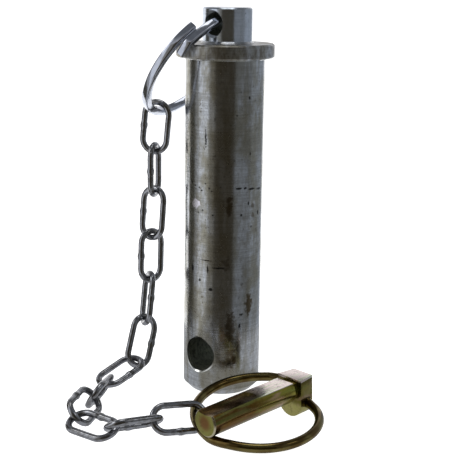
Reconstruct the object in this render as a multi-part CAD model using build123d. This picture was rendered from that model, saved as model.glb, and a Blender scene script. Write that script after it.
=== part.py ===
from build123d import *
import math
import os

os.makedirs("parts", exist_ok=True)

# Millimetres and degrees. Z is up. The pin stands on its foot at the origin.
# Both cross holes run along Y, and the chain hangs on the -X side.

# Main pin, turned from one bar
shank_diameter = 28.0
shank_top = 121.0
foot_edge = 2.4
collar_diameter = 34.6
collar_top = 125.9
collar_edge = 0.5
under_collar_flare = 0.6
head_diameter = 17.5
head_top = 138.2
head_edge = 0.5
head_foot_flare = 0.8
head_offset = 0.8
linch_hole_diameter = 12.5
linch_hole_height = 15.0
linch_hole_edge = 0.5
head_hole_diameter = 7.6
head_hole_height = 132.6
head_hole_edge = 0.9

# Split ring, a little over one turn of near-square wire, threaded through the head hole
split_wire = 2.85
split_wire_edge = 0.4
split_step = 9.0
split_radius = 21.8
split_pitch = 3.47
split_start = -335.0
split_end = 53.0
split_centre = Vector(-11.35, -1.93, 116.8)
split_zero = Vector(0.600, -0.199, 0.780)
split_axis = Vector(0.80, 0.11, -0.59)
split_taper_length = 5.0
split_taper_left = 0.9

# Chain, twelve welded links of round wire
link_length = 20.8
link_width = 11.4
link_wire = 2.3
link_gap = 0.16
crown_bends = 8
wire_sides = 12
weld_diameter = 2.8
weld_length = 1.8
first_link_hang = -203.5
first_link_lift = 3.25

# Linch pin, drawn from the tip along +X with its flat up, then laid in place
linch_tip = Vector(31.4, -50.1, 8.4)
linch_heading = 80.4
linch_rise = 3.0
linch_diameter = 9.8
linch_flat = 3.27
linch_shank = 37.5
linch_tip_edge = 0.5
linch_neck_diameter = 8.0
linch_neck_flat = 2.5
linch_groove = 2.2
scoop_radius = 12.0
scoop_depth = 0.5
scoop_end = 23.0
block_thickness = 7.4
block_half_width = 5.4
block_end_half_width = 4.2
block_top = 3.9
block_bottom = -10.4
block_edge = 0.5

# Sprung ring of the linch pin, ends pivoting in two blind holes of the block
ring_wire = 3.2
ring_radius = 21.1
ring_centre = Vector(34.8, -25.8, 0)
ring_height = 5.16
ring_tilt_along = 2.48
ring_tilt_across = -1.48
ring_half_pitch = 2.88
ring_dip = 0.85
ring_dip_angle = 180.0
ring_dip_spread = 15.0
ring_first_angle = 30.0
ring_step = 10.0
ring_sides = 16
front_pivot = Vector(43.9, -4.9, -5.4)
back_pivot = Vector(44.9, 4.9, -1.0)
pivot_depth = 2.6
pivot_reach = 0.6
pivot_clearance = 0.15


def write(shape, name):
    """Writes one node as its own STEP file."""
    shape.label = name
    export_step(shape, f"parts/{name}.step")


def rim_edges(shape, height, radius):
    """The circular edges at one height with one radius."""
    rings = shape.edges().filter_by(GeomType.CIRCLE)
    return rings.filter_by(lambda e: abs(e.center().Z - height) < 0.01 and abs(e.radius - radius) < 0.01)


def mouth_cone(hole_radius, edge):
    """A cone that opens a cross hole's mouth outward from the tangent plane."""
    return Cone(hole_radius, hole_radius + 2 * edge, 2 * edge)


# Main pin
upright = (Align.CENTER, Align.CENTER, Align.MIN)
shank_radius = shank_diameter / 2
head_radius = head_diameter / 2
shank = Cylinder(shank_radius, shank_top, align=upright)
shank = chamfer(shank.edges().group_by(Axis.Z)[0], foot_edge)
collar = Pos(0, 0, shank_top) * Cylinder(collar_diameter / 2, collar_top - shank_top, align=upright)
collar = chamfer(collar.edges().filter_by(GeomType.CIRCLE), collar_edge)
head = Pos(head_offset, 0, collar_top) * Cylinder(head_radius, head_top - collar_top, align=upright)
head = chamfer(head.edges().group_by(Axis.Z)[-1], head_edge)
pin_body = shank + collar + head
pin_body = chamfer(rim_edges(pin_body, shank_top, shank_radius), under_collar_flare)
pin_body = chamfer(rim_edges(pin_body, collar_top, head_radius), head_foot_flare)
across = Rot(90, 0, 0)
pin_body -= Pos(0, 0, linch_hole_height) * across * Cylinder(linch_hole_diameter / 2, 2 * shank_diameter)
pin_body -= Pos(head_offset, 0, head_hole_height) * across * Cylinder(head_hole_diameter / 2, 2 * head_diameter)
for turned in (0, 180):
    flip = Rot(0, 0, turned)
    outside = Pos(0, -shank_radius, linch_hole_height) * across
    pin_body -= flip * outside * mouth_cone(linch_hole_diameter / 2, linch_hole_edge)
    outside = Pos(0, -head_radius, head_hole_height) * across
    pin_body -= Pos(head_offset, 0, 0) * flip * outside * mouth_cone(head_hole_diameter / 2, head_hole_edge)
write(pin_body, "pin_body")

# Split ring, wound about its own Z and then tilted into the head hole
def wound_point(angle):
    """A point on the split ring's centre line, in the ring's own frame."""
    turned = math.radians(angle)
    return Vector(split_radius * math.cos(turned), split_radius * math.sin(turned), split_pitch * angle / 360)


turn_steps = round((split_end - split_start) / split_step)
turn_step = (split_end - split_start) / turn_steps
wound = [wound_point(split_start + turn_step * step) for step in range(turn_steps + 1)]
square = Rectangle(split_wire, split_wire)
square = chamfer(square.vertices(), split_wire_edge)
outward = Vector(wound[0].X, wound[0].Y, 0)
square = Plane(origin=wound[0], x_dir=outward, z_dir=wound[1] - wound[0]) * square
coil = sweep(square, path=Polyline(*wound), transition=Transition.RIGHT)
tip_angle = math.degrees(split_taper_length / split_radius)
wedge_turn = math.degrees(math.atan((split_wire - split_taper_left) / split_taper_length))
wedge = Rot(0, 0, split_end - tip_angle) * Pos(split_radius + split_wire / 2, 0, 0)
wedge = wedge * Rot(0, 0, wedge_turn + tip_angle / 2)
wedge_size = 4 * split_wire
wedge = wedge * Box(wedge_size, 2 * wedge_size, wedge_size, align=(Align.MIN, Align.MIN, Align.CENTER))
split_frame = Plane(origin=split_centre, x_dir=split_zero, z_dir=split_axis)
split_ring = split_frame.location * (coil - wedge)
write(split_ring, "split_ring")


# One link, its long axis on X and its width on Y, with a weld bead on the +Y bar
crown_radius = (link_width - link_wire) / 2
half_straight = (link_length - link_width) / 2
half_reach = (link_length - link_wire) / 2
path_points = [(0, -crown_radius)]
for side in (1, -1):
    for bend in range(crown_bends + 1):
        angle = math.radians(180 * bend / crown_bends - 90)
        along = half_straight + crown_radius * math.cos(angle)
        path_points.append((side * along, side * crown_radius * math.sin(angle)))
wire_end = Plane(origin=(0, -crown_radius, 0), z_dir=(1, 0, 0)) * RegularPolygon(link_wire / 2, wire_sides)
loop = sweep(wire_end, path=Polyline(*path_points, close=True), transition=Transition.RIGHT)
weld = extrude(Plane.YZ * RegularPolygon(weld_diameter / 2, wire_sides), weld_length / 2, both=True)
link = loop + Pos(0, crown_radius, 0) * weld

# How each link lies: heading and slope of its long axis, then roll of its width about that axis
link_lie = [
    (176, -83, 64),
    (121, -90, -81),
    (-81, -83, -174),
    (-61, -84, 131),
    (-65, -70, 58),
    (-79, -65, -61),
    (-94, -15, -4),
    (-63, 6, -121),
    (-66, -1, 131),
    (0, 0, 21),
    (67, -4, -34),
    (57, -3, -126),
]


def link_axes(heading, slope, roll):
    """The long axis and the width axis of a link."""
    heading, slope, roll = math.radians(heading), math.radians(slope), math.radians(roll)
    flat = math.cos(slope)
    long_axis = Vector(flat * math.cos(heading), flat * math.sin(heading), math.sin(slope))
    level = Vector(-math.sin(heading), math.cos(heading), 0)
    width_axis = level * math.cos(roll) + long_axis.cross(level) * math.sin(roll)
    return long_axis, width_axis


# Each link's first crown sits inside the last crown of the link before it, one wire and a gap away
pitch_offset = link_wire + link_gap
crown = split_frame.from_local_coords(wound_point(first_link_hang)) + Vector(0, 0, first_link_lift)
last_end = None
last_long = None
last_width = None
for number, (heading, slope, roll) in enumerate(link_lie, start=1):
    long_axis, width_axis = link_axes(heading, slope, roll)
    if last_end is not None:
        inward = last_width.cross(width_axis).normalized()
        if inward.dot(last_long + long_axis) < 0:
            inward = -inward
        crown = last_end - inward * pitch_offset
    middle = crown + long_axis * half_reach
    place = Plane(origin=middle, x_dir=long_axis, z_dir=long_axis.cross(width_axis))
    write(place.location * link, f"chain_link_{number:02d}")
    last_end = middle + long_axis * half_reach
    last_long = long_axis
    last_width = width_axis

# Linch pin
heading = math.radians(linch_heading)
rise = math.radians(linch_rise)
forward = Vector(math.cos(heading), math.sin(heading), 0)
aside = Vector(math.sin(heading), -math.cos(heading), 0)
linch_x = forward * math.cos(rise) + Vector(0, 0, math.sin(rise))
linch_z = Vector(0, 0, math.cos(rise)) - forward * math.sin(rise)
linch_frame = Plane(origin=linch_tip, x_dir=linch_x, z_dir=linch_z)
along_x = Rot(0, 90, 0)
above = (Align.CENTER, Align.CENTER, Align.MIN)
linch_radius = linch_diameter / 2
bar = along_x * Cylinder(linch_radius, linch_shank, align=upright)
bar = chamfer(bar.edges().group_by(Axis.X)[0], linch_tip_edge)
bar -= Pos(0, 0, linch_flat) * Box(3 * linch_shank, 2 * linch_diameter, linch_diameter, align=above)
scoop_height = linch_flat - scoop_depth + scoop_radius
scoop_straight = scoop_end - math.sqrt(scoop_radius**2 - (scoop_radius - scoop_depth) ** 2)
bar -= Pos(0, 0, scoop_height) * along_x * Cylinder(scoop_radius, 2 * scoop_straight)
bar -= Pos(scoop_straight, 0, scoop_height) * Sphere(scoop_radius)
neck = Pos(linch_shank, 0, 0) * along_x * Cylinder(linch_neck_diameter / 2, linch_groove, align=upright)
neck -= Pos(0, 0, linch_neck_flat) * Box(3 * linch_shank, 2 * linch_diameter, linch_diameter, align=above)
block_start = linch_shank + linch_groove
lobe_height = block_bottom + block_half_width
outline = Plane.YZ * Pos(0, lobe_height) * Circle(block_half_width)
upper = Rectangle(2 * block_half_width, block_top - lobe_height, align=(Align.CENTER, Align.MIN))
outline += Plane.YZ * Pos(0, lobe_height) * upper
block = Pos(block_start, 0, 0) * extrude(outline, block_thickness)
narrowing = math.degrees(math.atan((block_half_width - block_end_half_width) / block_thickness))
for side in (1, -1):
    cut_size = 4 * block_thickness
    cut_align = (Align.CENTER, Align.MIN if side > 0 else Align.MAX, Align.CENTER)
    cut = Rot(0, 0, -side * narrowing) * Box(cut_size, cut_size, 2 * cut_size, align=cut_align)
    block -= Pos(block_start, side * block_half_width, 0) * cut
block = chamfer(block.edges().group_by(Axis.X)[-1], block_edge)
pivot_axis = (front_pivot - back_pivot).normalized()
for pivot, out in ((front_pivot, 1), (back_pivot, -1)):
    mouth = pivot + pivot_axis * (out * 2 * ring_wire)
    blind = Plane(origin=mouth, z_dir=pivot_axis * -out)
    blind_depth = 2 * ring_wire + pivot_depth + pivot_clearance
    block -= blind.location * Cylinder(ring_wire / 2 + pivot_clearance, blind_depth, align=upright)
write(linch_frame.location * (bar + neck + block), "linch_pin")

# Sprung ring, lying round the linch pin and passing under its tip
world_axis = linch_frame.from_local_coords(front_pivot) - linch_frame.from_local_coords(back_pivot)
world_axis = world_axis.normalized()
front = linch_frame.from_local_coords(front_pivot)
back = linch_frame.from_local_coords(back_pivot)
ring_points = [front + world_axis * pivot_reach]
ring_angle = ring_first_angle
while ring_angle <= 360 - ring_first_angle:
    turned = math.radians(ring_angle)
    height = ring_height + ring_tilt_along * math.cos(turned) + ring_tilt_across * math.sin(turned)
    height += ring_half_pitch * (ring_angle - 180) / 180
    height -= ring_dip * math.exp(-(((ring_angle - ring_dip_angle) / ring_dip_spread) ** 2))
    outward = forward * math.cos(turned) + aside * math.sin(turned)
    ring_points.append(ring_centre + outward * ring_radius + Vector(0, 0, height))
    ring_angle += ring_step
ring_points.append(back - world_axis * pivot_reach)
ring_path = Polyline(front - world_axis * pivot_depth, *ring_points, back + world_axis * pivot_depth)
ring_section = Plane(origin=front - world_axis * pivot_depth, z_dir=world_axis)
ring_section = ring_section * RegularPolygon(ring_wire / 2, ring_sides)
write(sweep(ring_section, path=ring_path, transition=Transition.RIGHT), "linch_ring")
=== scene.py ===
"""Lower link pin with its chained linch pin: finishes, round wire forms and studio."""

import math

import bmesh
import bpy
import numpy as np
from bpy.props import FloatProperty, FloatVectorProperty, IntProperty, PointerProperty
from bpy.types import Operator, Panel, PropertyGroup
from mathutils import Matrix, Vector, noise


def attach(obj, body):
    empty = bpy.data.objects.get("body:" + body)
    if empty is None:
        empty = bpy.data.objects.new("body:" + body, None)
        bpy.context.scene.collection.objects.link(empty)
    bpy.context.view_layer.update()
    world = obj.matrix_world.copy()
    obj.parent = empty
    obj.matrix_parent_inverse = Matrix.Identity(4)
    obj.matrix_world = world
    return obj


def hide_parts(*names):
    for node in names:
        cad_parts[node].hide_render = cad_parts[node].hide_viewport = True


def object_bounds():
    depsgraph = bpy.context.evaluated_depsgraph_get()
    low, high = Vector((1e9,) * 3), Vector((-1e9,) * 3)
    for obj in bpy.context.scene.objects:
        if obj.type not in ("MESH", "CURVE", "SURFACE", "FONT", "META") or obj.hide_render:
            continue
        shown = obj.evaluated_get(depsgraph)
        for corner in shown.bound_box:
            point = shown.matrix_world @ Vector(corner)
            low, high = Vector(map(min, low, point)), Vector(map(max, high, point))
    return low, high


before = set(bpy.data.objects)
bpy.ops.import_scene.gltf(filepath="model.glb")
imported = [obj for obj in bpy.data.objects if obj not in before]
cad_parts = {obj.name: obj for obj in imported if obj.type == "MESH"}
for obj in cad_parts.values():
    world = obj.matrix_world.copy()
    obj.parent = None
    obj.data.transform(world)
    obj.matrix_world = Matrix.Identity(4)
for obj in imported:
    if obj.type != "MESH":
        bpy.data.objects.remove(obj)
cad_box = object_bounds()

bl_info = {
    "name": "Lower Link Pin",
    "version": (1, 0, 0),
    "blender": (4, 5, 0),
    "location": "View3D > Sidebar > Lower Link Pin",
    "description": "Dresses a lower link pin, its chain and its linch pin",
    "category": "Object",
}

MM = 0.001
CHAIN_LINKS = 12


# Colour and node helpers


def srgb(hex_colour):
    """A linear colour with alpha from an sRGB hex value such as #A0A0A0."""
    parts = [int(hex_colour[i : i + 2], 16) / 255 for i in (1, 3, 5)]
    return tuple(c / 12.92 if c <= 0.04045 else ((c + 0.055) / 1.055) ** 2.4 for c in parts) + (1.0,)


def add_node(tree, kind, settings=None, inputs=None, output=0):
    """Adds a node, sets its properties, fills its inputs with values or links and gives one output."""
    node = tree.nodes.new(kind)
    for key, value in (settings or {}).items():
        setattr(node, key, value)
    for key, value in (inputs or {}).items():
        if isinstance(value, bpy.types.NodeSocket):
            tree.links.new(value, node.inputs[key])
        else:
            node.inputs[key].default_value = value
    return node.outputs[output]


def per_mm(size_mm):
    """The texture scale whose features are about this many millimetres across."""
    return 1.0 / (size_mm * MM)


def weigh(tree, parts, base=0.0):
    """A base value with each mask added by its weight, which may be a second mask."""
    total = base
    for mask, weight in parts:
        settings = {"operation": "MULTIPLY_ADD"}
        total = add_node(tree, "ShaderNodeMath", settings, {0: mask, 1: weight, 2: total})
    return total


def paint(tree, under, over, mask, share=1.0):
    """Lays one colour over another where a mask is, up to a share of it."""
    part = weigh(tree, [(mask, share)])
    return add_node(tree, "ShaderNodeMix", {"data_type": "RGBA"}, {"Factor": part, 6: under, 7: over}, 2)


def past(tree, point, axis, low, high):
    """0 before a place along one axis and 1 past it, in the point's own units."""
    along = add_node(tree, "ShaderNodeSeparateXYZ", None, {0: point}, axis)
    inputs = {"Value": along, "From Min": low, "From Max": high}
    return add_node(tree, "ShaderNodeMapRange", {"interpolation_type": "SMOOTHSTEP"}, inputs)


def near(tree, point, centre, weights, inner, outer, torn=0.0):
    """1 within an inner distance of a centre and 0 past an outer one, each axis weighed by its own number."""
    offset = add_node(tree, "ShaderNodeVectorMath", {"operation": "SUBTRACT"}, {0: point, 1: centre})
    scaled = add_node(tree, "ShaderNodeVectorMath", {"operation": "MULTIPLY"}, {0: offset, 1: weights})
    distance = add_node(tree, "ShaderNodeVectorMath", {"operation": "LENGTH"}, {0: scaled}, "Value")
    reached = weigh(tree, [(torn, 1.0)], distance)
    inputs = {"Value": reached, "From Min": outer, "From Max": inner}
    return add_node(tree, "ShaderNodeMapRange", {"interpolation_type": "SMOOTHSTEP"}, inputs)


def clouds(tree, point, scale, detail, roughness, low, high):
    """Noise at a point, 0 below a low level and 1 above a high one."""
    inputs = {"Vector": point, "Scale": scale, "Detail": detail, "Roughness": roughness}
    raw = add_node(tree, "ShaderNodeTexNoise", None, inputs)
    inputs = {"Value": raw, "From Min": low, "From Max": high}
    return add_node(tree, "ShaderNodeMapRange", {"interpolation_type": "SMOOTHSTEP"}, inputs)


def grain(tree, size_mm, stretch=(1, 1, 1), detail=4.0, roughness=0.55, low=0.35, high=0.65):
    """Noise of a real size, pulled along each axis and spread between two levels, from 0 to 1."""
    point = add_node(tree, "ShaderNodeTexCoord", output="Object")
    pulled = add_node(tree, "ShaderNodeMapping", None, {"Vector": point, "Scale": stretch})
    return clouds(tree, pulled, per_mm(size_mm), detail, roughness, low, high)


def new_material(name, metallic=1.0):
    """A material with its tree and its shader: a metal unless it is told otherwise."""
    material = bpy.data.materials.new(name)
    material.use_nodes = True
    tree = material.node_tree
    shader = tree.nodes["Principled BSDF"]
    shader.inputs["Metallic"].default_value = metallic
    return material, tree, shader


def finish(tree, shader, colour, roughness, height=None, depth_mm=0.0):
    """Links a surface's colour, roughness and relief of a real depth to its shader."""
    tree.links.new(colour, shader.inputs["Base Color"])
    tree.links.new(roughness, shader.inputs["Roughness"])
    if height:
        inputs = {"Height": height, "Distance": depth_mm * MM, "Strength": 1.0}
        tree.links.new(add_node(tree, "ShaderNodeBump", None, inputs), shader.inputs["Normal"])


# Materials


# The turned pin, in millimetres from its foot and its axis
SHANK_RADIUS = 14.0
COLLAR_MIDDLE = 123.5
COLLAR_HALF = 2.5
HEAD_FOOT = 126.6
HEAD_BLEND = 0.2
HEAD_OFFSET = 0.8
# Cross holes: offset, height, radius and how far out the darker wall colour or the painted highlight on the
# rim reaches
LINCH_HOLE = (0.0, 15.0, 6.25, 12.7)
LINCH_HOLE_HIGHLIGHT_RIM = (0.0, 15.0, 6.6, 14.2)
# Heights between which the painted highlight fades in, toward the bottom of the linch hole
LINCH_HOLE_LIP = (12.5, 10.0)
HEAD_HOLE = (HEAD_OFFSET, 132.6, 3.8, 7.6)
# A hole's paint ends between these shares of its radius, and its reach fades over this much each way
WALL_SKIN = (1.01, 1.03)
REACH_FADE = 0.05

# Marks on the shank: degrees round it, height, half width and half height in millimetres, and raggedness
CRACKS_AND_NICKS = [
    (-31, 76.5, 1.6, 0.5, 0.3),
    (-20, 76.5, 0.8, 0.5, 0.3),
    (-8, 76.0, 2.0, 0.5, 0.3),
    (10, 75.5, 1.6, 0.5, 0.3),
    (-98, 77.0, 0.4, 0.35, 0.3),
    (-90, 76.5, 0.4, 0.3, 0.3),
    (-86, 75.5, 0.45, 0.35, 0.3),
    (-80, 78.0, 0.4, 0.3, 0.3),
    (-74, 76.5, 0.4, 0.45, 0.3),
    (-70, 75.5, 0.3, 0.3, 0.3),
    (-105, 78.0, 0.6, 0.5, 0.4),
    (-92, 67.5, 0.4, 0.35, 0.3),
    (-84, 68.5, 0.35, 0.45, 0.4),
    (-14, 71.0, 0.5, 0.8, 0.5),
    (-8, 62.5, 0.5, 0.6, 0.5),
    (-12, 88.5, 0.4, 0.8, 0.5),
    (-15, 108.0, 0.5, 0.8, 0.5),
    (-35, 102.0, 0.4, 0.4, 0.4),
    (-26, 67.0, 0.5, 0.6, 0.4),
    (8, 67.0, 0.7, 1.0, 0.4),
    (-68, 67.0, 0.45, 0.4, 0.3),
    (-58, 48.0, 2.8, 0.4, 0.4),
    (-78, 50.5, 2.4, 0.25, 0.3),
    (-75, 47.0, 0.45, 2.4, 0.6),
    (-70, 40.0, 0.9, 0.8, 0.3),
    (-88, 43.0, 0.7, 0.7, 0.4),
    (-102, 47.0, 0.7, 1.8, 0.5),
    (-80, 94.0, 0.5, 5.0, 0.7),
    (-23, 30.5, 1.1, 0.5, 0.5),
    (-26, 26.5, 0.8, 2.0, 0.7),
]
# The same, and the share of brown that each lays on
BROWN_PATCHES = [
    (-45, 70.5, 2.0, 5.0, 0.7, 0.75),
    (-10, 34.0, 2.3, 5.6, 0.5, 0.9),
    (-40, 26.0, 2.4, 8.0, 0.6, 0.75),
    (-38, 16.0, 3.0, 6.5, 0.9, 0.6),
    (-5, 70.0, 1.2, 1.1, 0.4, 0.6),
    (-5, 66.5, 1.2, 1.2, 0.4, 0.6),
    (-48, 49.5, 2.0, 4.5, 0.9, 0.5),
    (-67, 13.0, 1.6, 5.0, 0.9, 0.3),
]
# Bare bright metal, given as the cracks are
FRESH_CHIP = (-97, 70.5, 2.6, 2.0, 0.4)
# A mark is whole out to the first share of its half size and gone past the second
SPOT_CORE = 0.75
SPOT_EDGE = 1.15


def unrolled_shank(tree):
    """The shank's surface laid flat, in millimetres: round it from +X, then up."""
    point = add_node(tree, "ShaderNodeTexCoord", output="Object")
    split = add_node(tree, "ShaderNodeSeparateXYZ", None, {0: point}).node.outputs
    turn = add_node(tree, "ShaderNodeMath", {"operation": "ARCTAN2"}, {0: split["Y"], 1: split["X"]})
    inputs = {0: weigh(tree, [(turn, SHANK_RADIUS)]), 1: weigh(tree, [(split["Z"], 1 / MM)])}
    return add_node(tree, "ShaderNodeCombineXYZ", None, inputs)


def mark(tree, flat, angle, height, half_width, half_height, ragged, grit_mm):
    """A soft, ragged mark of a real size at one place on the flat shank."""
    torn = weigh(tree, [(grain(tree, grit_mm, low=0.3, high=0.7), ragged)])
    centre = (math.radians(angle) * SHANK_RADIUS, height, 0.0)
    return near(tree, flat, centre, (1 / half_width, 1 / half_height, 0.0), SPOT_CORE, SPOT_EDGE, torn)


def inside_bore(tree, offset, height, radius, reach):
    """1 on the wall of a cross hole along Y, out to a reach from the pin's axis."""
    point = add_node(tree, "ShaderNodeTexCoord", output="Object")
    centre = (offset * MM, 0.0, height * MM)
    in_hole = near(tree, point, centre, (1 / (radius * MM), 0.0, 1 / (radius * MM)), *WALL_SKIN)
    in_reach = near(tree, point, centre, (1 / MM, 1 / MM, 0.0), reach - REACH_FADE, reach + REACH_FADE)
    return weigh(tree, [(in_hole, in_reach)])


def turned_zinc_steel(settings):
    """Turned mild steel with worn zinc plating.

    The cutter leaves fine rings round the shank, the plating is bluish where it is whole,
    and olive grease and bare steel show where the hitch has rubbed it away.
    The lower rim of the linch hole carries a painted highlight.
    """
    material, tree, shader = new_material("Turned_Steel_Worn_Zinc_Plating")
    point = add_node(tree, "ShaderNodeTexCoord", output="Object")
    streaks = grain(tree, 3.0, stretch=(1, 1, 0.14), detail=5, low=0.40, high=0.64)
    blotches = grain(tree, 10.0, stretch=(1, 1, 0.6), detail=7, roughness=0.66, low=0.44, high=0.60)
    mottle = grain(tree, 1.1, stretch=(1, 1, 0.5), detail=6, roughness=0.72, low=0.32, high=0.70)
    # A cutter's rings are some 0.2 mm apart, too fine to show, so the setting draws them 0.5 mm apart
    rings = grain(tree, settings.turning_pitch / MM, stretch=(0.05, 0.05, 1), detail=2, low=0.3, high=0.7)
    pits = grain(tree, 0.8, detail=3, low=0.68, high=0.73)
    specks = grain(tree, 1.5, detail=4, low=0.64, high=0.70)
    knocks = grain(tree, 2.2, stretch=(1, 1, 0.4), detail=5, roughness=0.7, low=0.42, high=0.60)
    collar = near(tree, point, (0, 0, COLLAR_MIDDLE * MM), (0, 0, 1 / (COLLAR_HALF * MM)), 1.0, 1.04)
    head = past(tree, point, "Z", (HEAD_FOOT - HEAD_BLEND) * MM, (HEAD_FOOT + HEAD_BLEND) * MM)
    flat = unrolled_shank(tree)
    lip_start, lip_full = LINCH_HOLE_LIP
    lip = past(tree, point, "Z", lip_start * MM, lip_full * MM)
    # Painted highlight on the linch hole's lower rim, where its chamfer would reflect the light
    painted_lip_highlight = weigh(tree, [(inside_bore(tree, *LINCH_HOLE_HIGHLIGHT_RIM), lip)])
    holes = {0: inside_bore(tree, *LINCH_HOLE), 1: inside_bore(tree, *HEAD_HOLE)}
    bores = add_node(tree, "ShaderNodeMath", {"operation": "MAXIMUM"}, holes)
    # The cross holes' walls are painted a darker mottled green-grey
    dark_bore_tone = paint(tree, srgb("#7C816C"), srgb("#36382B"), mottle)
    # Coats in order: a colour, the mask where it lies, and its share there
    coats = [
        (srgb("#A8A8A4"), streaks, 1.0),
        (tuple(settings.grease), blotches, 0.75),
        (srgb("#6C6A60"), mottle, 0.36),
        (srgb("#565449"), rings, 0.26),
        (srgb("#4B4232"), specks, 0.55),
        (srgb("#CBD6E6"), head, 0.5),
        (srgb("#5C5346"), weigh(tree, [(collar, knocks)]), 0.6),
        (srgb("#E6E2EA"), mark(tree, flat, *FRESH_CHIP, 0.8), 1.0),
    ]
    for *shape, share in BROWN_PATCHES:
        coats.append((srgb("#4F4126"), mark(tree, flat, *shape, 1.6), share))
    for shape in CRACKS_AND_NICKS:
        coats.append((srgb("#14110C"), mark(tree, flat, *shape, 0.6), 0.92))
    coats += [
        (srgb("#2C2721"), pits, 0.75),
        # Painted highlight, near-white, on the linch hole's lower rim
        (srgb("#FFFFFA"), painted_lip_highlight, 0.8),
        # Darker mottled green-grey on the cross holes' walls
        (dark_bore_tone, bores, 0.88),
    ]
    colour = tuple(settings.zinc)
    for over, mask, share in coats:
        colour = paint(tree, colour, over, mask, share)
    rougher = [(blotches, 0.07), (mottle, 0.09), (collar, 0.16), (bores, 0.4)]
    roughness = weigh(tree, rougher, settings.roughness)
    height = weigh(tree, [(rings, 0.55), (mottle, 0.5), (pits, -1.0)])
    finish(tree, shader, colour, roughness, height, 0.012)
    return material


def bright_zinc_spring_steel(settings):
    """Coiled spring steel with bright zinc plating: smooth, bluish, nearly a mirror."""
    material, tree, shader = new_material("Spring_Steel_Bright_Zinc")
    shade = grain(tree, 3.0, detail=4, low=0.4, high=0.7)
    colour = paint(tree, tuple(settings.ring_zinc), srgb("#8C8F98"), shade, 0.35)
    roughness = weigh(tree, [(grain(tree, 0.8, detail=5), 0.06)], 0.08)
    finish(tree, shader, colour, roughness, grain(tree, 1.6, detail=2), 0.003)
    return material


def dull_zinc_chain_steel(settings):
    """Welded steel wire with a dark, handled zinc coat: soft shine with patches of grime."""
    material, tree, shader = new_material("Welded_Wire_Dull_Zinc")
    grime = grain(tree, 2.2, detail=5, roughness=0.6, low=0.45, high=0.62)
    colour = paint(tree, tuple(settings.chain_zinc), srgb("#524E44"), grime, 0.5)
    roughness = weigh(tree, [(grime, 0.10)], 0.13)
    finish(tree, shader, colour, roughness, grain(tree, 1.8, detail=3), 0.006)
    return material


def own_axes(tree, origin, axes):
    """Coordinates in millimetres from an origin along three axes."""
    point = add_node(tree, "ShaderNodeTexCoord", output="Object")
    offset = add_node(tree, "ShaderNodeVectorMath", {"operation": "SUBTRACT"}, {0: point, 1: tuple(origin)})
    parts = {}
    for index, axis in enumerate(axes):
        inputs = {0: offset, 1: tuple(axis / MM)}
        parts[index] = add_node(tree, "ShaderNodeVectorMath", {"operation": "DOT_PRODUCT"}, inputs, "Value")
    return add_node(tree, "ShaderNodeCombineXYZ", None, parts)


def drawn_streaks(tree, own, across_mm, along_mm, low, high, shift=0.0):
    """Streaks that run along a bar's own X, with real widths and lengths."""
    scale = (1 / along_mm, 1 / across_mm, 1 / across_mm)
    inputs = {"Vector": own, "Scale": scale, "Location": (shift, shift, 0)}
    pulled = add_node(tree, "ShaderNodeMapping", None, inputs)
    return clouds(tree, pulled, 1.0, 4.0, 0.55, low, high)


# Where the linch pin's colours change, from and to: millimetres from its tip, up from its middle line
# or out from it
TOWARD_HEAD = (16.0, 30.0)
PAST_SCOOP = (20.5, 25.0)
# Past here the block's sides are painted darker: painted shade
BLOCK_SHADE = (39.4, 39.6)
CUT_END = (0.35, 0.1)
TIP_EDGE = (0.7, 0.5)
FLAT_TOP = (3.0, 3.25)
# Below here the lower lobe is painted lighter: painted light
LOBE_LIGHT = (-4.0, -6.5)
CUT_CORE = (1.2, 3.6)
CUT_FACE = (4.3, 4.5)


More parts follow.
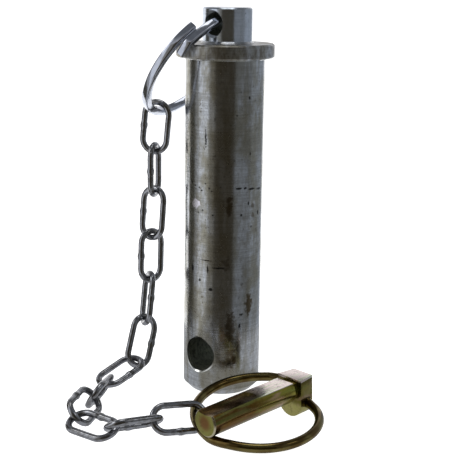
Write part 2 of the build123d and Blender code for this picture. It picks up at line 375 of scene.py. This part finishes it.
def passivated_bar_steel(settings):
    """Forged steel with yellow passivated zinc.

    The film is olive and gold, turns pink and green where it is thin near the head,
    and is rubbed brown toward the tip, with a red-brown middle on the cut end.
    Painted light lies over it: shaded block sides, a pale painted sheen on the top,
    a lighter lower lobe and a painted highlight round the cut end's rim.
    """
    material, tree, shader = new_material("Forged_Steel_Yellow_Passivated")
    along, upward = linch_axes()[2:]
    own = own_axes(tree, LINCH_TIP, (along, upward.cross(along), upward))
    green = drawn_streaks(tree, own, 1.6, 16.0, 0.50, 0.62)
    pink = drawn_streaks(tree, own, 1.8, 12.0, 0.48, 0.60, shift=7.0)
    brown = drawn_streaks(tree, own, 1.3, 9.0, 0.46, 0.64, shift=3.0)
    stain = grain(tree, 1.6, detail=5, roughness=0.65, low=0.52, high=0.68)
    toward_head = past(tree, own, "X", *TOWARD_HEAD)
    block_shade = past(tree, own, "X", *BLOCK_SHADE)
    end = past(tree, own, "X", *CUT_END)
    lobe_light = past(tree, own, "Z", *LOBE_LIGHT)
    # Painted sheen on the flat top toward the head
    top_sheen = weigh(tree, [(past(tree, own, "Z", *FLAT_TOP), past(tree, own, "X", *PAST_SCOOP))])
    core = near(tree, own, (0, 0, 0), (0, 1, 1), *CUT_CORE)
    cut_face = near(tree, own, (0, 0, 0), (0, 1, 1), *CUT_FACE)
    rim_highlight = weigh(tree, [(weigh(tree, [(cut_face, -1.0)], 1.0), past(tree, own, "X", *TIP_EDGE))])
    pinker = weigh(tree, [(pink, 0.1), (weigh(tree, [(pink, toward_head)]), 0.4)])
    # Coats in order: a colour, the mask where it lies, and its share there
    coats = [
        (tuple(settings.gold), toward_head, 1.0),
        (srgb("#4A3014"), brown, 0.5),
        (srgb("#7C9650"), green, 0.4),
        (tuple(settings.pink), pinker, 1.0),
        # Painted shade: the block's sides darkened olive; their top and lobe are painted over after
        (srgb("#4E4622"), block_shade, 0.65),
        # Painted highlight on the flat top: near-white, tinted pink and green as the thin film is
        (paint(tree, srgb("#F4E4E0"), srgb("#D2E4BC"), green, 0.6), top_sheen, 0.88),
        # Painted light: the lower lobe lightened to pale yellow
        (srgb("#C2BC74"), lobe_light, 0.6),
        (paint(tree, srgb("#8E8A4A"), srgb("#7C5A34"), core), end, 1.0),
        # Painted highlight: a pale rim round the cut end's edge
        (srgb("#E4DAC0"), rim_highlight, 0.6),
        (srgb("#4A3C22"), stain, 0.3),
    ]
    colour = tuple(settings.brown)
    for over, mask, share in coats:
        colour = paint(tree, colour, over, mask, share)
    roughness = weigh(tree, [(grain(tree, 0.9, detail=4), 0.10), (end, 0.2)], 0.16)
    finish(tree, shader, colour, roughness, brown, 0.006)
    return material


def passivated_spring_wire(settings):
    """Spring wire with yellow passivated zinc: dark brown with clear cream glints."""
    material, tree, shader = new_material("Spring_Wire_Yellow_Passivated")
    film = grain(tree, 6.0, detail=3, low=0.40, high=0.62)
    stain = grain(tree, 1.5, detail=4, low=0.52, high=0.70)
    colour = paint(tree, tuple(settings.wire_brown), srgb("#7C7044"), film)
    colour = paint(tree, colour, srgb("#4A3920"), stain, 0.35)
    roughness = weigh(tree, [(grain(tree, 1.2, detail=3), 0.06)], 0.10)
    finish(tree, shader, colour, roughness)
    return material


# Mesh helpers


def skin(name, rings, closed):
    """A smooth mesh object through rings of points, capped unless it is closed."""
    mesh = bpy.data.meshes.new(name)
    form = bmesh.new()
    rows = [[form.verts.new(point) for point in ring] for ring in rings]
    count = len(rows[0])
    spans = len(rows) if closed else len(rows) - 1
    for row in range(spans):
        here, there = rows[row], rows[(row + 1) % len(rows)]
        for side in range(count):
            after = (side + 1) % count
            form.faces.new((here[side], here[after], there[after], there[side]))
    if not closed:
        form.faces.new(reversed(rows[0]))
        form.faces.new(rows[-1])
    bmesh.ops.recalc_face_normals(form, faces=form.faces)
    form.to_mesh(mesh)
    form.free()
    mesh.polygons.foreach_set("use_smooth", [True] * len(mesh.polygons))
    piece = bpy.data.objects.new(name, mesh)
    bpy.context.scene.collection.objects.link(piece)
    return piece


# Edges sharper than these, in degrees, stay crisp
WIRE_CREASE = 50.0
SOLID_CREASE = 32.0
# Corners closer than this are one corner
FACET_GAP = 0.0005 * MM
SOFT_STEPS = 3
# A drawn wire stays this far inside its solid's
WIRE_INSET = 0.01 * MM


def crisp(piece, angle):
    """Keeps edges sharper than an angle sharp while the rest shades smooth."""
    split = piece.modifiers.new("Crisp edges", "EDGE_SPLIT")
    split.split_angle = math.radians(angle)
    split.use_edge_sharp = False


def round_tube(points, radius_at, sides, closed=False):
    """Circles along a line of points, carried without twist."""
    total = len(points)
    tangents = []
    for index in range(total):
        before = points[(index - 1) % total] if closed or index else points[0]
        after = points[(index + 1) % total] if closed or index < total - 1 else points[-1]
        tangents.append((after - before).normalized())
    across = tangents[0].orthogonal().normalized()
    rings = []
    for point, tangent in zip(points, tangents):
        across = (across - tangent * across.dot(tangent)).normalized()
        other = tangent.cross(across)
        ring = []
        for side in range(sides):
            turn = 2 * math.pi * side / sides
            out = across * math.cos(turn) + other * math.sin(turn)
            ring.append(point + out * radius_at(point, out))
        rings.append(ring)
    return rings


def smooth_line(points, steps):
    """A centripetal Catmull-Rom line through the points."""
    ends = [points[0] * 2 - points[1]] + list(points) + [points[-1] * 2 - points[-2]]
    line = []
    for index in range(1, len(ends) - 2):
        p0, p1, p2, p3 = ends[index - 1 : index + 3]
        t1 = (p1 - p0).length ** 0.5
        t2 = t1 + (p2 - p1).length ** 0.5
        t3 = t2 + (p3 - p2).length ** 0.5
        for step in range(steps):
            t = t1 + (t2 - t1) * step / steps
            a1 = p0 * ((t1 - t) / t1) + p1 * (t / t1)
            a2 = p1 * ((t2 - t) / (t2 - t1)) + p2 * ((t - t1) / (t2 - t1))
            a3 = p2 * ((t3 - t) / (t3 - t2)) + p3 * ((t - t2) / (t3 - t2))
            b1 = a1 * ((t2 - t) / t2) + a2 * (t / t2)
            b2 = a2 * ((t3 - t) / (t3 - t1)) + a3 * ((t - t1) / (t3 - t1))
            line.append(b1 * ((t2 - t) / (t2 - t1)) + b2 * ((t - t1) / (t2 - t1)))
    line.append(points[-1].copy())
    return line


def finish_cad_node(node, material, soft_edge=0.0):
    """Gives a CAD node its material and smooth shading, with edges kept crisp."""
    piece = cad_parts[node]
    piece.data.materials.clear()
    piece.data.materials.append(material)
    piece.data.polygons.foreach_set("use_smooth", [True] * len(piece.data.polygons))
    weld = piece.modifiers.new("Join facets", "WELD")
    weld.merge_threshold = FACET_GAP
    if soft_edge:
        bevel = piece.modifiers.new("Soft edges", "BEVEL")
        bevel.width = soft_edge
        bevel.segments = SOFT_STEPS
        bevel.limit_method = "ANGLE"
        bevel.angle_limit = math.radians(SOLID_CREASE)
        bevel.use_clamp_overlap = True
    crisp(piece, SOLID_CREASE)


def place(piece, material, body, node):
    """Puts a scene piece in its node's place, on its body."""
    piece.data.materials.append(material)
    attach(piece, body)
    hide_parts(node)


# Settings


def colour_setting(name, description, shade):
    """A colour property whose default is an sRGB hex value."""
    return FloatVectorProperty(
        name=name, description=description, subtype="COLOR", size=4, min=0, max=1, default=srgb(shade)
    )


def length_setting(name, description, size_mm):
    """A length property whose default is given in millimetres."""
    return FloatProperty(name=name, description=description, default=size_mm * MM, unit="LENGTH")


class PinFinishSettings(PropertyGroup):
    """The turned pin's finish"""

    zinc: colour_setting("Zinc", "Whole plating", "#C4C8CE")
    grease: colour_setting("Grease", "Brown worn patches", "#8A8470")
    turning_pitch: length_setting("Turning pitch", "Spacing of the cutter's rings as drawn", 0.5)
    roughness: FloatProperty(
        name="Roughness", description="Plain plating", default=0.13, min=0, max=1, subtype="FACTOR"
    )


class WireSettings(PropertyGroup):
    """The split ring's and the chain's wire and finish"""

    ring_zinc: colour_setting("Split ring", "Bright plating", "#BCC0CA")
    chain_zinc: colour_setting("Chain", "Dull plating", "#9C9DA1")
    split_wire: length_setting("Split ring wire", "Side of the split ring's wire", 2.85)
    split_radius: length_setting("Split ring radius", "To the wire's middle", 21.8)
    link_wire: length_setting("Link wire", "Thickness of a link", 2.3)
    link_length: length_setting("Link length", "Outside length", 20.8)
    link_width: length_setting("Link width", "Outside width", 11.4)
    sides: IntProperty(name="Sides", description="Points round a link's wire", default=20, min=8, max=48)


class LinchSettings(PropertyGroup):
    """The linch pin's and its sprung ring's finish and wire"""

    gold: colour_setting("Gold", "Passivated film", "#8F8838")
    brown: colour_setting("Brown", "Rubbed film at the tip", "#6E5222")
    pink: colour_setting("Pink", "Thin film", "#C79C8C")
    wire_brown: colour_setting("Wire", "Film on the wire", "#5E4C2A")
    ring_wire: length_setting("Ring wire", "Thickness of the sprung ring", 3.2)
    ring_radius: length_setting("Ring radius", "To the middle of the wire", 21.1)
    ring_sides: IntProperty(
        name="Ring sides", description="Points round the ring's wire", default=24, min=8, max=48
    )
    soft_edge: length_setting("Soft edge", "Width of the rounded edges", 0.2)


class StageSettings(PropertyGroup):
    """The table, the light, the room and the lens"""

    floor: colour_setting("Floor", "Light table", "#F7F7F5")
    table_glow: FloatProperty(name="Table glow", description="Light through the table", default=0.93, min=0)
    side_power: FloatProperty(
        name="Side light", description="Left softbox, in watts", default=0.42, min=0, unit="POWER"
    )
    ceiling: colour_setting("Ceiling", "Room overhead", "#6F7276")
    lens: FloatProperty(name="Lens", description="Focal length", default=86.86, min=10, unit="CAMERA")


# Split ring


# The ring's middle, two directions that set its own axes, its rise a turn, and its coil in degrees
SPLIT_CENTRE = Vector((-11.35, -1.93, 116.8)) * MM
SPLIT_ZERO = Vector((0.600, -0.199, 0.780))
SPLIT_AXIS = Vector((0.80, 0.11, -0.59))
SPLIT_PITCH = 3.47 * MM
SPLIT_START = -335.0
SPLIT_END = 53.0
SPLIT_STEP = 2.0
SPLIT_TAPER = 5.0 * MM
SPLIT_TAPER_LEFT = 0.9 * MM
SPLIT_CORNER = 0.62 * MM


def split_ring_axes():
    """The split ring's own X, Y and Z in the row frame."""
    upward = SPLIT_AXIS.normalized()
    level = (SPLIT_ZERO - upward * SPLIT_ZERO.dot(upward)).normalized()
    return level, upward.cross(level), upward


def split_ring_point(angle, radius):
    """A point at an angle and a radius on the split ring's coil."""
    level, side, upward = split_ring_axes()
    turned = math.radians(angle)
    flat = level * math.cos(turned) + side * math.sin(turned)
    return SPLIT_CENTRE + flat * radius + upward * (SPLIT_PITCH * angle / 360), flat, upward


def rounded_square(half, corner, corner_points=4):
    """Corner points of a square with rounded corners, as pairs."""
    outline = []
    for quarter in range(4):
        turn = quarter * math.pi / 2
        for step in range(corner_points):
            angle = turn + (math.pi / 2) * step / (corner_points - 1)
            centre_x = (half - corner) * (1 if quarter in (0, 3) else -1)
            centre_y = (half - corner) * (1 if quarter in (0, 1) else -1)
            outline.append((centre_x + corner * math.cos(angle), centre_y + corner * math.sin(angle)))
    return outline


class LINKPIN_OT_split_ring(Operator):
    """Winds the split ring from rounded square wire, with its tapered tip"""

    bl_idname = "linkpin.split_ring"
    bl_label = "Split Ring"

    def execute(self, context):
        settings = context.scene.linkpin_wire
        half = settings.split_wire / 2
        outline = rounded_square(half, SPLIT_CORNER)
        steps = round((SPLIT_END - SPLIT_START) / SPLIT_STEP)
        rings = []
        for step in range(steps + 1):
            angle = SPLIT_START + (SPLIT_END - SPLIT_START) * step / steps
            point, flat, upward = split_ring_point(angle, settings.split_radius)
            left = math.radians(SPLIT_END - angle) * settings.split_radius
            thin = min(1.0, left / SPLIT_TAPER)
            depth = SPLIT_TAPER_LEFT + (settings.split_wire - SPLIT_TAPER_LEFT) * thin
            ring = []
            for out, along in outline:
                pressed = -half + (out + half) * depth / settings.split_wire
                ring.append(point + flat * pressed + upward * along)
            rings.append(ring)
        piece = skin("split_ring_coil", rings, closed=False)
        crisp(piece, WIRE_CREASE)
        place(piece, bright_zinc_spring_steel(settings), "split_ring", "split_ring")
        return {"FINISHED"}


# Chain


# The weld's bead on one bar, its lumps, and the wear of the wire between
WELD_RADIUS = 1.4 * MM
WELD_HALF = 0.9 * MM
WELD_REACH = 2.5 * WELD_HALF
WELD_LUMPS = 0.25
WELD_LUMPS_PER_MM = 0.9
WEAR_DEPTH = 0.02 * MM
WEAR_PER_MM = 0.35
CROWN_STEPS = 14
BAR_STEPS = 14


def link_line(settings):
    """The middle line of a link's wire, its length on X and its weld on the +Y bar."""
    crown = (settings.link_width - settings.link_wire) / 2
    straight = (settings.link_length - settings.link_width) / 2
    line = []
    for side in (1, -1):
        for step in range(CROWN_STEPS + 1):
            angle = math.pi * step / CROWN_STEPS - math.pi / 2
            out = straight + crown * math.cos(angle)
            line.append(Vector((side * out, side * crown * math.sin(angle), 0)))
        for step in range(1, BAR_STEPS):
            line.append(Vector((side * straight * (1 - 2 * step / BAR_STEPS), side * crown, 0)))
    return line


def link_place(node, settings):
    """A link's middle, long axis and width axis, worked out from its solid's own corners."""
    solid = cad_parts[node]
    corners = np.array([solid.matrix_world @ corner.co for corner in solid.data.vertices])
    middle = corners.mean(axis=0)
    long_axis = np.linalg.svd(corners - middle, full_matrices=False)[2][0]
    along = (corners - middle) @ long_axis
    crowns = corners[abs(along) > (settings.link_length - settings.link_width) / 2]
    centre = crowns.mean(axis=0)
    axes = np.linalg.svd(crowns - centre, full_matrices=False)[2]
    width_axis = axes[1] if (middle - centre) @ axes[1] > 0 else -axes[1]
    return Vector(centre), Vector(axes[0]), Vector(width_axis)


class LINKPIN_OT_chain(Operator):
    """Bends and welds the links of the chain"""

    bl_idname = "linkpin.chain"
    bl_label = "Chain"

    def execute(self, context):
        settings = context.scene.linkpin_wire
        material = dull_zinc_chain_steel(settings)
        radius = settings.link_wire / 2
        line = link_line(settings)
        for number in range(1, CHAIN_LINKS + 1):
            name = f"chain_link_{number:02d}"
            middle, long_axis, width_axis = link_place(name, settings)

            def wire_radius(point, out, number=number):
                """The wire's radius at one place, with the weld's bead and a little wear."""
                at = point / MM
                on_weld = point.y > 0 and abs(point.x) < WELD_REACH
                bead = math.exp(-((point.x / WELD_HALF) ** 4)) if on_weld else 0.0
                lump = noise.noise((at + out * 2) * WELD_LUMPS_PER_MM + Vector((7 * number, 0, 0)))
                wear = noise.noise(at * WEAR_PER_MM + out + Vector((0, 5 * number, 0)))
                swollen = (WELD_RADIUS - radius) * bead * (1 + WELD_LUMPS * lump)
                return radius - WIRE_INSET + WEAR_DEPTH * wear + swollen

            rings = round_tube(line, wire_radius, settings.sides, closed=True)
            piece = skin(name + "_wire", rings, closed=True)
            turn = Matrix((long_axis, width_axis, long_axis.cross(width_axis))).transposed().to_4x4()
            piece.data.transform(Matrix.Translation(middle) @ turn)
            place(piece, material, name, name)
        return {"FINISHED"}


# Linch pin and its sprung ring


# Tip in the row frame; heading and rise in degrees; the pivots in the linch pin's own frame
LINCH_TIP = Vector((31.4, -50.1, 8.4)) * MM
LINCH_HEADING = 80.4
LINCH_RISE = 3.0
FRONT_PIVOT = Vector((43.9, -4.9, -5.4)) * MM
BACK_PIVOT = Vector((44.9, 4.9, -1.0)) * MM
PIVOT_DEPTH = 2.6 * MM
PIVOT_REACH = 0.6 * MM
# The ring lies level, then tilts, parts at its ends and dips under the tip
RING_CENTRE = Vector((34.8, -25.8, 0)) * MM
RING_HEIGHT = 5.16 * MM
RING_TILT_ALONG = 2.48 * MM
RING_TILT_ACROSS = -1.48 * MM
RING_HALF_PITCH = 2.88 * MM
RING_DIP = 0.85 * MM
RING_DIP_ANGLE = 180.0
RING_DIP_SPREAD = 15.0
RING_FIRST_ANGLE = 30
RING_STEP = 10
RING_SMOOTH_STEPS = 5


def linch_axes():
    """The linch pin's X toward its head, its Y and its Z in the row frame, with its level aside."""
    heading, rise = math.radians(LINCH_HEADING), math.radians(LINCH_RISE)
    forward = Vector((math.cos(heading), math.sin(heading), 0))
    aside = Vector((math.sin(heading), -math.cos(heading), 0))
    along = forward * math.cos(rise) + Vector((0, 0, math.sin(rise)))
    upward = Vector((0, 0, math.cos(rise))) - forward * math.sin(rise)
    return forward, aside, along, upward


def sprung_ring_line(settings):
    """The sprung ring's middle line, from one blind hole round to the other."""
    forward, aside, along, upward = linch_axes()
    level = upward.cross(along)

    def from_linch(point):
        """A point of the linch pin's own frame in the row frame."""
        return LINCH_TIP + along * point.x + level * point.y + upward * point.z

    front, back = from_linch(FRONT_PIVOT), from_linch(BACK_PIVOT)
    axis = (front - back).normalized()
    points = [front - axis * PIVOT_DEPTH, front + axis * PIVOT_REACH]
    for angle in range(RING_FIRST_ANGLE, 361 - RING_FIRST_ANGLE, RING_STEP):
        turned = math.radians(angle)
        height = RING_HEIGHT + RING_TILT_ALONG * math.cos(turned) + RING_TILT_ACROSS * math.sin(turned)
        height += RING_HALF_PITCH * (angle - 180) / 180
        height -= RING_DIP * math.exp(-(((angle - RING_DIP_ANGLE) / RING_DIP_SPREAD) ** 2))
        outward = forward * math.cos(turned) + aside * math.sin(turned)
        points.append(RING_CENTRE + outward * settings.ring_radius + Vector((0, 0, height)))
    points += [back - axis * PIVOT_REACH, back + axis * PIVOT_DEPTH]
    return smooth_line(points, RING_SMOOTH_STEPS)


class LINKPIN_OT_sprung_ring(Operator):
    """Bends the linch pin's sprung ring from round spring wire"""

    bl_idname = "linkpin.sprung_ring"
    bl_label = "Sprung Ring"

    def execute(self, context):
        settings = context.scene.linkpin_linch
        radius = settings.ring_wire / 2 - WIRE_INSET
        line = sprung_ring_line(settings)
        rings = round_tube(line, lambda point, out: radius, settings.ring_sides)
        piece = skin("linch_ring_wire", rings, closed=False)
        crisp(piece, WIRE_CREASE)
        place(piece, passivated_spring_wire(settings), "linch_ring", "linch_ring")
        return {"FINISHED"}


class LINKPIN_OT_linch_pin(Operator):
    """Finishes the linch pin in yellow passivated zinc"""

    bl_idname = "linkpin.linch_pin"
    bl_label = "Linch Pin"

    def execute(self, context):
        settings = context.scene.linkpin_linch
        finish_cad_node("linch_pin", passivated_bar_steel(settings), settings.soft_edge)
        return {"FINISHED"}


class LINKPIN_OT_turned_pin(Operator):
    """Finishes the turned pin in worn zinc plating"""

    bl_idname = "linkpin.turned_pin"
    bl_label = "Turned Pin"

    def execute(self, context):
        finish_cad_node("pin_body", turned_zinc_steel(context.scene.linkpin_pin))
        return {"FINISHED"}


# Stage


# The camera's distance from the pin's axis, its height, and its turns in radians
CAMERA_DISTANCE = 391.4 * MM
CAMERA_HEIGHT = 148.3 * MM
CAMERA_PITCH = 0.2240
CAMERA_YAW = 0.0056
CAMERA_ROLL = 0.0149
SENSOR_WIDTH_MM = 36.0
CLIP_NEAR = 0.01
CLIP_FAR = 50.0
# The viewer's side of the pin, in degrees
VIEW_AZIMUTH = 37.0
# Half the table's side in metres, far enough to meet the room's pale foot
TABLE_REACH = 30.0
TABLE_GAP = 0.02 * MM
CEILING_FADE = (0.3, 0.8)


def view_axes():
    """The viewer's level right and forward in the row frame."""
    turn = math.radians(VIEW_AZIMUTH)
    return Vector((math.cos(turn), math.sin(turn), 0)), Vector((-math.sin(turn), math.cos(turn), 0))


# Cards that only reflections see. They lie flat round the pin and stand up at their far edge.
# Each has a name, its two sides in degrees round from the viewer, positive to the right, and a shade.
STUDIO_CARDS = [
    ("left_flag", -120, -92, "#4A483F"),
    ("left_grey_card", -92, -78, "#A8A9AA"),
    ("left_window", -78, -46, "#F6F9FF"),
    ("left_brown_card", -46, -28, "#8E8B84"),
    ("front_flag", -28, 30, "#3E382B"),
    ("right_grey_card", 30, 84, "#7C7F82"),
    ("right_pale_card", 84, 150, "#9EA4AC"),
]
CARD_NEAR = 80.0 * MM
CARD_FAR = 450.0 * MM
CARD_HEIGHT = 400.0 * MM
CARD_LIFT = 0.01 * MM
CARD_TURN = 10.0
FOOT_CARD_NEAR = 1.0 * MM
FOOT_CARD_SHADE = "#C4C6CA"

# Softboxes: a name, its place right, away and up from the pin, its sides, all in metres,
# and its power against the left one's
SOFTBOXES = [
    ("left_softbox", (-0.42, -0.06, 0.36), (0.20, 0.30), 1.0),
    ("right_softbox", (0.45, -0.20, 0.42), (0.14, 0.22), 0.4),
    ("top_softbox", (0.0, 0.12, 0.75), (0.34, 0.34), 1.6),
]


def light_table_acrylic(settings):
    """A lit white acrylic table, matt and even, which drowns the shadows."""
    material, _, shader = new_material("White_Acrylic_Light_Table", metallic=0.0)
    shader.inputs["Base Color"].default_value = tuple(settings.floor)
    shader.inputs["Roughness"].default_value = 0.9
    shader.inputs["Emission Color"].default_value = (1, 1, 1, 1)
    shader.inputs["Emission Strength"].default_value = settings.table_glow
    return material


def plain_card(name, shade):
    """A plain paper card, evenly lit from outside the picture."""
    material, _, shader = new_material(name + "_paper", metallic=0.0)
    shader.inputs["Base Color"].default_value = (0, 0, 0, 1)
    shader.inputs["Roughness"].default_value = 1.0
    shader.inputs["Emission Color"].default_value = srgb(shade)
    shader.inputs["Emission Strength"].default_value = 1.0
    return material


def add_card(name, start, stop, profile, shade):
    """A card swept round the pin from one side to the other, along a profile of distances and heights."""
    right, away = view_axes()
    steps = math.ceil((stop - start) / CARD_TURN)
    points = []
    for step in range(steps + 1):
        turn = math.radians(start + (stop - start) * step / steps)
        out = right * math.sin(turn) - away * math.cos(turn)
        points += [out * distance + Vector((0, 0, height)) for distance, height in profile]
    across = len(profile)
    faces = []
    for step in range(steps):
        for index in range(across - 1):
            first = step * across + index
            faces.append((first, first + 1, first + across + 1, first + across))
    mesh = bpy.data.meshes.new(name)
    mesh.from_pydata(points, [], faces)
    mesh.materials.append(plain_card(name, shade))
    card = bpy.data.objects.new(name, mesh)
    bpy.context.scene.collection.objects.link(card)
    card.visible_camera = False
    card.visible_diffuse = False
    card.visible_shadow = False


def add_softbox(name, offset, size, power, aim):
    """A rectangular softbox at an offset from the pin, turned to an aim."""
    right, away = view_axes()
    data = bpy.data.lights.new(name, "AREA")
    data.shape = "RECTANGLE"
    data.size, data.size_y = size
    data.energy = power
    lamp = bpy.data.objects.new(name, data)
    lamp.location = right * offset[0] + away * offset[1] + Vector((0, 0, offset[2]))
    lamp.rotation_euler = (aim - lamp.location).to_track_quat("-Z", "Y").to_euler()
    lamp.visible_camera = False
    bpy.context.scene.collection.objects.link(lamp)


class LINKPIN_OT_stage(Operator):
    """Sets the light table, the cards, the softboxes and the camera"""

    bl_idname = "linkpin.stage"
    bl_label = "Stage"

    def execute(self, context):
        settings = context.scene.linkpin_stage
        low, high = cad_box
        floor_height = min(low[2], 0.0) - TABLE_GAP
        self.add_table(context, settings, floor_height)
        card_floor = floor_height + CARD_LIFT
        foot = [(FOOT_CARD_NEAR, card_floor), (CARD_NEAR, card_floor)]
        add_card("foot_card", -180, 180, foot, FOOT_CARD_SHADE)
        profile = [(CARD_NEAR, card_floor), (CARD_FAR, card_floor), (CARD_FAR, CARD_HEIGHT)]
        for name, start, stop, shade in STUDIO_CARDS:
            add_card(name, start, stop, profile, shade)
        aim = Vector((0, 0, (low[2] + high[2]) / 2))
        for name, offset, size, share in SOFTBOXES:
            add_softbox(name, offset, size, settings.side_power * share, aim)
        self.set_world(context, settings)
        self.set_camera(context, settings)
        context.scene.view_settings.view_transform = "Standard"
        return {"FINISHED"}

    def add_table(self, context, settings, height):
        """Lays the lit table under the part."""
        reach = TABLE_REACH
        corners = [(-reach, -reach), (reach, -reach), (reach, reach), (-reach, reach)]
        mesh = bpy.data.meshes.new("light_table")
        mesh.from_pydata([(x, y, height) for x, y in corners], [], [(0, 1, 2, 3)])
        mesh.materials.append(light_table_acrylic(settings))
        table = bpy.data.objects.new("light_table", mesh)
        context.scene.collection.objects.link(table)

    def set_world(self, context, settings):
        """A plain room: pale at the table's level, fading to a grey ceiling."""
        world = bpy.data.worlds.new("studio")
        world.use_nodes = True
        tree = world.node_tree
        room = tree.nodes["Background"]
        direction = add_node(tree, "ShaderNodeTexCoord", output="Generated")
        ceiling = past(tree, direction, "Z", *CEILING_FADE)
        colour = paint(tree, srgb("#FCFCFF"), tuple(settings.ceiling), ceiling)
        tree.links.new(colour, room.inputs["Color"])
        room.inputs["Strength"].default_value = 1.0
        context.scene.world = world

    def set_camera(self, context, settings):
        """Places the camera a little above the head, looking down on the pin."""
        right, away = view_axes()
        level_right = right * math.cos(CAMERA_YAW) - away * math.sin(CAMERA_YAW)
        level_away = right * math.sin(CAMERA_YAW) + away * math.cos(CAMERA_YAW)
        ahead = level_away * math.cos(CAMERA_PITCH) - Vector((0, 0, math.sin(CAMERA_PITCH)))
        upward = level_right.cross(ahead)
        rolled_right = level_right * math.cos(CAMERA_ROLL) + upward * math.sin(CAMERA_ROLL)
        rolled_up = upward * math.cos(CAMERA_ROLL) - level_right * math.sin(CAMERA_ROLL)
        data = bpy.data.cameras.new("camera")
        data.lens = settings.lens
        data.sensor_width = SENSOR_WIDTH_MM
        data.clip_start = CLIP_NEAR
        data.clip_end = CLIP_FAR
        camera = bpy.data.objects.new("camera", data)
        turn = Matrix((rolled_right, rolled_up, -ahead)).transposed().to_4x4()
        place_at = away * -CAMERA_DISTANCE + Vector((0, 0, CAMERA_HEIGHT))
        camera.matrix_world = Matrix.Translation(place_at) @ turn
        context.scene.collection.objects.link(camera)
        context.scene.camera = camera


OPERATORS = (
    LINKPIN_OT_turned_pin,
    LINKPIN_OT_split_ring,
    LINKPIN_OT_chain,
    LINKPIN_OT_sprung_ring,
    LINKPIN_OT_linch_pin,
    LINKPIN_OT_stage,
)


class LINKPIN_PT_sidebar(Panel):
    """Lists the pin's pieces"""

    bl_idname = "LINKPIN_PT_sidebar"
    bl_label = "Lower Link Pin"
    bl_space_type = "VIEW_3D"
    bl_region_type = "UI"
    bl_category = "Lower Link Pin"

    def draw(self, context):
        """Draws one button for each operator."""
        for operator in OPERATORS:
            self.layout.operator(operator.bl_idname)


SETTINGS = {
    "linkpin_pin": PinFinishSettings,
    "linkpin_wire": WireSettings,
    "linkpin_linch": LinchSettings,
    "linkpin_stage": StageSettings,
}


def register():
    """Adds the settings, the operators and the panel."""
    for name, group in SETTINGS.items():
        bpy.utils.register_class(group)
        setattr(bpy.types.Scene, name, PointerProperty(type=group))
    for kind in (*OPERATORS, LINKPIN_PT_sidebar):
        bpy.utils.register_class(kind)


def unregister():
    """Takes away what register adds."""
    for kind in (LINKPIN_PT_sidebar, *reversed(OPERATORS)):
        bpy.utils.unregister_class(kind)
    for name, group in SETTINGS.items():
        delattr(bpy.types.Scene, name)
        bpy.utils.unregister_class(group)


def main():
    """Registers the add-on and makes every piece."""
    register()
    for operator in OPERATORS:
        group, action = operator.bl_idname.split(".")
        getattr(getattr(bpy.ops, group), action)()


if __name__ == "__main__":
    main()
